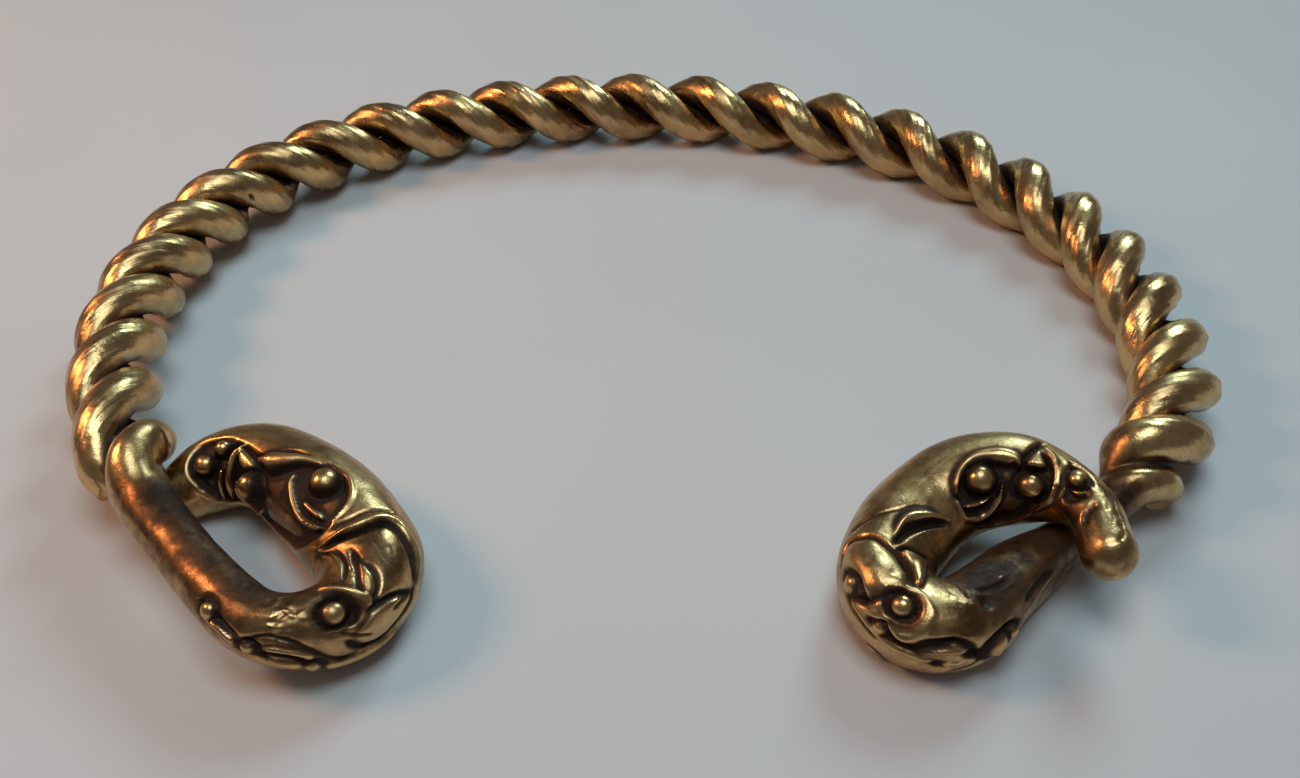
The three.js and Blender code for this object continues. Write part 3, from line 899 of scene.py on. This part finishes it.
def right_eye(relief):
    """The eye of the right loop, the ribs round it and the small boss below."""
    relief.hollow([(56.5, 66), (56, 78), (55, 88), (53.5, 88), (52.5, 76), (52.5, 62),
                   (53.5, 48), (55, 44), (56, 52)], 1.1, 0.7)
    relief.ridge([(57, 62), (56.5, 80), (55, 92), (53, 92), (51.5, 78), (51.5, 62),
                  (52.5, 44), (54, 32), (55, 32)], 1.2, 0.25)
    relief.ridge([(55.5, 56), (54.5, 52), (53.5, 56), (53, 70), (53.5, 80)], 1.1, 0.05)
    relief.boss((54.5, 68), 2.2, 0.4)
    relief.ridge([(55, 38), (54, 28), (53, 26), (52, 40), (51.5, 56)], 1.4, 0.4)
    relief.groove([(55, 32), (54, 16), (52.5, 12), (51, 20), (50, 28), (49, 40)], 1.0, 1.0)
    relief.groove([(56.5, 16), (56, 28), (55, 38)], 0.7, 0.7)
    relief.boss((55.5, 20), 1.3, 0.5)
    relief.ridge([(59, 24), (58, 20), (56.5, 12), (55.5, 5), (55, -6)], 1.2, 0.35)
    relief.groove([(59.5, 16), (58, 8), (56.5, 0), (55.5, -8)], 0.9, 0.9)
    relief.ridge([(58.5, 28), (57, 32), (56, 36), (55, 45)], 1.0, 0.3)


def right_underside(relief):
    """The ornament that hangs under the right loop's outer side."""
    # Brown stain and painted shade along the neck.
    for along in range(12, 44, 5):
        relief.dirt_and_shade_spot((along, 100), 6.5, 0.78)
    relief.dirt_and_shade_spot((47, 60), 5, 0.45)
    relief.ridge([(55, 5), (54, 0), (52.5, 0), (50.5, -5)], 1.7, 0.4)
    relief.pit((50, -15), 0.9, 0.9)
    relief.groove([(48, -32), (46.5, -24), (46, -8), (47, 6), (48, 12)], 1.1, 1.1)
    relief.ridge([(49.5, -12), (48.5, -4), (48, -10)], 1.5, 0.4)
    relief.ridge([(52, 12), (50.5, 16), (49, 20), (48, 16)], 1.1, 0.3)
    relief.groove([(52, 22), (51, 32), (49.5, 38), (48.5, 36), (47.5, 26), (47, 14), (46, 0)],
                  0.9, 0.95)
    relief.pad([(45.5, 0), (45, 14), (43.5, 20), (41.5, 22), (40, 12), (39.5, -4), (40.5, -18),
                (43, -24), (45, -16)], 0.4, 0.6, 0.2)
    relief.groove([(46, -2), (46, 16), (44.5, 28), (42, 28), (39.5, 14)], 1.0, 1.0)
    relief.boss((41.5, 12), 1.3, 0.8)
    relief.ridge([(43.5, 6), (44.5, -4), (44, -14)], 1.2, 0.8)
    relief.ridge([(39, 20), (36, 28), (33, 38), (29.5, 50)], 1.3, 0.22)
    relief.groove([(37.5, 44), (33.5, 54), (30, 56)], 0.9, 0.45)
    relief.pit((44.5, 78), 0.9, 0.9)
    relief.groove([(43.5, 98), (41.5, 92), (38, 88)], 0.9, 0.6)
    relief.roughen((38.5, 104), 3.2, 0.16, 41)
    relief.roughen((46, 92), 2.6, 0.16, 42)
    relief.roughen((48, 60), 1.5, 0.14, 43)


def plain_back(relief):
    """The side that lies down: two plain scrolls and their bosses, worn low."""
    relief.ridge([(48, -60), (54, -84), (62, -96), (70, -84), (76, -62)],
                 (1.0, 1.6, 1.8, 1.6, 1.0), 0.22)
    relief.ridge([(60, -40), (68, -34), (76, -36), (84, -46)], (0.9, 1.5, 1.5, 0.9), 0.22)
    relief.boss((56, -58), 1.7, 0.4)
    relief.boss((80, -66), 1.5, 0.35)


class TORC_OT_terminals(bpy.types.Operator):
    """Make the two loop terminals with their relief"""

    bl_idname = "torc.terminals"
    bl_label = "Loop Terminals"

    def execute(self, context):
        sizes = context.scene.torc_sizes
        finish = cast_gold(context.scene.torc_finish)
        carvings = {
            "left": (left_head, left_panel, left_eye, left_underside, plain_back),
            "right": (right_head, right_panel, right_eye, right_underside, plain_back),
        }
        for seed, (name, side) in enumerate(SIDES.items(), 50):
            relief = Relief(side, sizes)
            for carve in carvings[name]:
                carve(relief)
            relief.cast_skin(seed)
            terminal = sheet_to_skin(f"loop_{name}", *relief.skin())
            close_ends()
            settle_on_table(terminal)
            terminal.data.materials.append(finish)
            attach(terminal, "root")
            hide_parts(f"terminal_{name}")
        return {"FINISHED"}


# ---- finishes ----

def new_group(name, inputs, outputs):
    """An empty shader group with its sockets: (name, socket type, default)."""
    group = bpy.data.node_groups.new(name, "ShaderNodeTree")
    for socket, kind, default in inputs:
        made = group.interface.new_socket(socket, in_out="INPUT", socket_type=kind)
        made.default_value = default
    for socket, kind in outputs:
        group.interface.new_socket(socket, in_out="OUTPUT", socket_type=kind)
    return group, group.nodes.new("NodeGroupInput"), group.nodes.new("NodeGroupOutput")


def noise(tree, vector, scale, detail, roughness=0.55):
    """Random soft spots, so many per metre, from 0 to 1."""
    node = tree.nodes.new("ShaderNodeTexNoise")
    node.inputs["Scale"].default_value = scale
    node.inputs["Detail"].default_value = detail
    node.inputs["Roughness"].default_value = roughness
    tree.links.new(vector, node.inputs["Vector"])
    return node.outputs["Fac"]


def remap(tree, value, from_low, from_high, to_low=0.0, to_high=1.0):
    """A value brought smoothly from one range to another."""
    node = tree.nodes.new("ShaderNodeMapRange")
    node.interpolation_type = "SMOOTHSTEP"
    tree.links.new(value, node.inputs["Value"])
    for socket, number in zip(("From Min", "From Max", "To Min", "To Max"),
                              (from_low, from_high, to_low, to_high)):
        node.inputs[socket].default_value = number
    return node.outputs["Result"]


def math_node(tree, operation, a, b):
    """The sum or product of two values, kept between 0 and 1."""
    node = tree.nodes.new("ShaderNodeMath")
    node.operation = operation
    node.use_clamp = True
    for socket, value in zip(node.inputs, (a, b)):
        if isinstance(value, (int, float)):
            socket.default_value = value
        else:
            tree.links.new(value, socket)
    return node.outputs["Value"]


def mix_colour(tree, factor, a, b):
    """From colour a to colour b by a factor."""
    node = tree.nodes.new("ShaderNodeMix")
    node.data_type = "RGBA"
    sockets = [s for s in node.inputs if s.enabled]
    for socket, value in zip(sockets, (factor, a, b)):
        if hasattr(value, "is_linked"):
            tree.links.new(value, socket)
        else:
            socket.default_value = value
    return next(s for s in node.outputs if s.enabled)


def patina_group():
    """Gold that is bright where rubbed, dull in patches, brown with crust in hollows and darkened by
    the painted shade that comes in with the tarnish.
    """
    group, into, out = new_group(
        "Patina",
        [("Rubbed", "NodeSocketColor", (0.8, 0.56, 0.25, 1)),
         ("Dulled", "NodeSocketColor", (0.55, 0.4, 0.19, 1)),
         ("Stain and Shade", "NodeSocketColor", (0.15, 0.075, 0.035, 1)),
         ("Crust", "NodeSocketColor", (0.03, 0.015, 0.009, 1)),
         ("Tarnish and Shade", "NodeSocketFloat", 0.0), ("Matte", "NodeSocketFloat", 0.1),
         ("Vector", "NodeSocketVector", (0, 0, 0))],
        [("Color", "NodeSocketColor"), ("Crust", "NodeSocketFloat"), ("Roughness", "NodeSocketFloat")])
    vector = into.outputs["Vector"]
    patches = remap(group, noise(group, vector, PATCHES, 5), 0.38, 0.66)
    specks = remap(group, noise(group, vector, SPECKS, 3), 0.36, 0.66)
    dull = math_node(group, "MULTIPLY", patches, remap(group, specks, 0, 1, 0.6, 1.0))
    body = mix_colour(group, dull, into.outputs["Rubbed"], into.outputs["Dulled"])
    edges = remap(group, noise(group, vector, RAGGED_EDGES, 5, 0.65), 0.25, 0.75, -0.16, 0.16)
    ragged = math_node(group, "ADD", into.outputs["Tarnish and Shade"], edges)
    # The tarnish input carries painted shade too, so the stain and crust mixes below also darken the
    # shaded places.
    stain_and_shade = remap(group, ragged, 0.06, 0.62)
    crust = remap(group, ragged, 0.42, 0.95)
    shaded_and_stained = mix_colour(group, stain_and_shade, body, into.outputs["Stain and Shade"])
    colour = mix_colour(group, crust, shaded_and_stained, into.outputs["Crust"])
    clouds = remap(group, noise(group, vector, CLOUDS, 4), 0.3, 0.7, 0.20, 0.34)
    rough = math_node(group, "ADD", clouds, math_node(group, "MULTIPLY", crust, 0.22))
    rough = math_node(group, "ADD", rough, math_node(group, "MULTIPLY", dull, into.outputs["Matte"]))
    group.links.new(colour, out.inputs["Color"])
    group.links.new(crust, out.inputs["Crust"])
    group.links.new(rough, out.inputs["Roughness"])
    return group


def handling_group():
    """Fine scratches, dings and grain from long handling, as a height."""
    group, into, out = new_group(
        "Handling",
        [("Vector", "NodeSocketVector", (0, 0, 0)), ("Lengthwise", "NodeSocketVector", (0, 0, 0)),
         ("Streaks", "NodeSocketFloat", 0.5), ("Grain", "NodeSocketFloat", 0.5)],
        [("Height", "NodeSocketFloat"), ("Streak", "NodeSocketFloat")])
    stretch = group.nodes.new("ShaderNodeMapping")
    stretch.inputs["Scale"].default_value = (0.10, 1.0, 1.0)
    group.links.new(into.outputs["Lengthwise"], stretch.inputs["Vector"])
    streak = noise(group, stretch.outputs["Vector"], SCRATCHES, 5, 0.6)
    dings = noise(group, into.outputs["Vector"], DINGS, 4, 0.5)
    grain = noise(group, into.outputs["Vector"], CASTING_GRAIN, 2, 0.5)
    coarse = math_node(group, "MULTIPLY", streak, into.outputs["Streaks"])
    fine = math_node(group, "MULTIPLY", grain, into.outputs["Grain"])
    marks = math_node(group, "ADD", math_node(group, "MULTIPLY", coarse, 0.5),
                      math_node(group, "MULTIPLY", fine, 0.25))
    total = math_node(group, "ADD", math_node(group, "MULTIPLY", dings, 0.45), marks)
    group.links.new(total, out.inputs["Height"])
    group.links.new(streak, out.inputs["Streak"])
    return group


def shared_group(name, make):
    """The shader group of that name, made the first time that it is asked for."""
    return bpy.data.node_groups.get(name) or make()


def gold(name, finish, streaks, grain, matte, bump_distance):
    """A gold finish: the patina on its colour, and the marks of handling on its gloss."""
    material = bpy.data.materials.new(name)
    material.use_nodes = True
    tree = material.node_tree
    shader = tree.nodes["Principled BSDF"]
    place = tree.nodes.new("ShaderNodeTexCoord").outputs["Object"]
    along = tree.nodes.new("ShaderNodeUVMap")
    along.uv_map = "skin"
    # Reads the tarnish together with its painted shade.
    crust = tree.nodes.new("ShaderNodeAttribute")
    crust.attribute_name = "tarnish_and_shade"
    patina = tree.nodes.new("ShaderNodeGroup")
    patina.node_tree = shared_group("Patina", patina_group)
    handling = tree.nodes.new("ShaderNodeGroup")
    handling.node_tree = shared_group("Handling", handling_group)
    colours = {"Rubbed": finish.rubbed, "Dulled": finish.dulled,
               "Stain and Shade": finish.stain_and_shade, "Crust": finish.tarnish_and_shade}
    for socket, colour in colours.items():
        patina.inputs[socket].default_value = (*colour, 1)
    patina.inputs["Matte"].default_value = matte
    tree.links.new(crust.outputs["Fac"], patina.inputs["Tarnish and Shade"])
    tree.links.new(place, patina.inputs["Vector"])
    tree.links.new(place, handling.inputs["Vector"])
    tree.links.new(along.outputs["UV"], handling.inputs["Lengthwise"])
    handling.inputs["Streaks"].default_value = streaks
    handling.inputs["Grain"].default_value = grain
    tree.links.new(patina.outputs["Color"], shader.inputs["Base Color"])
    metal = remap(tree, patina.outputs["Crust"], 0.0, 1.0, 1.0, 0.4)
    tree.links.new(metal, shader.inputs["Metallic"])
    shine = remap(tree, patina.outputs["Crust"], 0.0, 1.0, 0.5, 0.12)
    tree.links.new(shine, shader.inputs["Specular IOR Level"])
    rough = math_node(tree, "ADD", patina.outputs["Roughness"],
                      remap(tree, handling.outputs["Streak"], 0.3, 0.7, -0.04, 0.06))
    tree.links.new(rough, shader.inputs["Roughness"])
    bump = tree.nodes.new("ShaderNodeBump")
    bump.inputs["Strength"].default_value = 1.0
    bump.inputs["Distance"].default_value = bump_distance
    tree.links.new(handling.outputs["Height"], bump.inputs["Height"])
    tree.links.new(bump.outputs["Normal"], shader.inputs["Normal"])
    return material


def rod_gold(finish):
    return gold("rod_gold", finish, streaks=1.0, grain=0.1, matte=0.02, bump_distance=0.00030)


def cast_gold(finish):
    return gold("cast_gold", finish, streaks=0.2, grain=0.8, matte=0.12, bump_distance=0.00013)


def table_paper(finish):
    """Pale matt paper with a faint unevenness."""
    material = bpy.data.materials.new("table_paper")
    material.use_nodes = True
    tree = material.node_tree
    shader = tree.nodes["Principled BSDF"]
    place = tree.nodes.new("ShaderNodeTexCoord").outputs["Object"]
    pale = tuple(min(1, c * 1.04) for c in finish.table)
    cloudy = remap(tree, noise(tree, place, 9, 3), 0.3, 0.7)
    colour = mix_colour(tree, cloudy, (*finish.table, 1), (*pale, 1))
    tree.links.new(colour, shader.inputs["Base Color"])
    shader.inputs["Roughness"].default_value = 0.9
    shader.inputs["Specular IOR Level"].default_value = 0.2
    return material


# ---- stage ----

def soft_lamp(name, place, size, power, colour):
    """A round soft lamp that shines on the middle of the ring."""
    bpy.ops.object.light_add(type="AREA", location=place)
    lamp = bpy.context.object
    lamp.name = name
    lamp.rotation_euler = (-Vector(place)).to_track_quat("-Z", "Y").to_euler()
    lamp.data.shape = "DISK"
    lamp.data.size = size
    lamp.data.energy = power
    lamp.data.color = colour


class TORC_OT_stage(bpy.types.Operator):
    """Lay the torc on a pale table under soft lamps, and set up the camera"""

    bl_idname = "torc.stage"
    bl_label = "Table, Lamps and Camera"

    def execute(self, context):
        finish = context.scene.torc_finish
        bpy.ops.object.select_all(action="DESELECT")
        bpy.ops.mesh.primitive_plane_add(size=TABLE_SIZE, location=(0, 0, 0))
        table = context.object
        table.name = "table"
        table.data.materials.append(table_paper(finish))
        table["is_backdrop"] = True

        for name, place, size, power, colour in LAMPS:
            soft_lamp(name, place, size, power, colour)

        world = bpy.data.worlds.new("room")
        context.scene.world = world
        world.use_nodes = True
        room = world.node_tree.nodes["Background"]
        room.inputs["Color"].default_value = ROOM_LIGHT
        room.inputs["Strength"].default_value = ROOM_STRENGTH

        bpy.ops.object.camera_add(location=CAMERA_PLACE,
                                  rotation=(math.radians(CAMERA_TILT), 0, 0))
        camera = context.object
        camera.name = "camera"
        camera.data.sensor_width = 36
        camera.data.lens = CAMERA_LENS
        camera.data.clip_start = 0.01
        context.scene.camera = camera
        context.scene.view_settings.view_transform = "Standard"
        return {"FINISHED"}


class TORC_PT_panel(bpy.types.Panel):
    """The torc's pieces and sizes"""

    bl_idname = "TORC_PT_panel"
    bl_label = "Gold Torc"
    bl_space_type = "VIEW_3D"
    bl_region_type = "UI"
    bl_category = "Torc"

    def draw(self, context):
        column = self.layout.column()
        for group in (context.scene.torc_sizes, context.scene.torc_finish):
            for name in group.__annotations__:
                column.prop(group, name)
        for operator in OPERATORS:
            column.operator(operator.bl_idname)


OPERATORS = (TORC_OT_rods, TORC_OT_terminals, TORC_OT_stage)
CLASSES = (TorcSizes, TorcFinish, *OPERATORS, TORC_PT_panel)


def register():
    for cls in CLASSES:
        bpy.utils.register_class(cls)
    bpy.types.Scene.torc_sizes = PointerProperty(type=TorcSizes)
    bpy.types.Scene.torc_finish = PointerProperty(type=TorcFinish)


def unregister():
    del bpy.types.Scene.torc_finish
    del bpy.types.Scene.torc_sizes
    for cls in reversed(CLASSES):
        bpy.utils.unregister_class(cls)


def fit_to_frame():
    """Draws the pieces in, all alike, so that the torc keeps the size of its frame."""
    low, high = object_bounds()
    frame_low, frame_high = cad_box
    scale = [min(1, (frame_high[i] - frame_low[i]) / (high[i] - low[i])) for i in range(3)]
    shift = [(frame_low[i] + frame_high[i]) / 2 - scale[i] * (low[i] + high[i]) / 2 for i in range(2)]
    change = Matrix.Translation((*shift, 0)) @ Matrix.Diagonal((*scale, 1))
    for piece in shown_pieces():
        piece.data.transform(change)


def main():
    register()
    bpy.ops.torc.rods()
    bpy.ops.torc.terminals()
    fit_to_frame()
    bpy.ops.torc.stage()


if __name__ == "__main__":
    main()
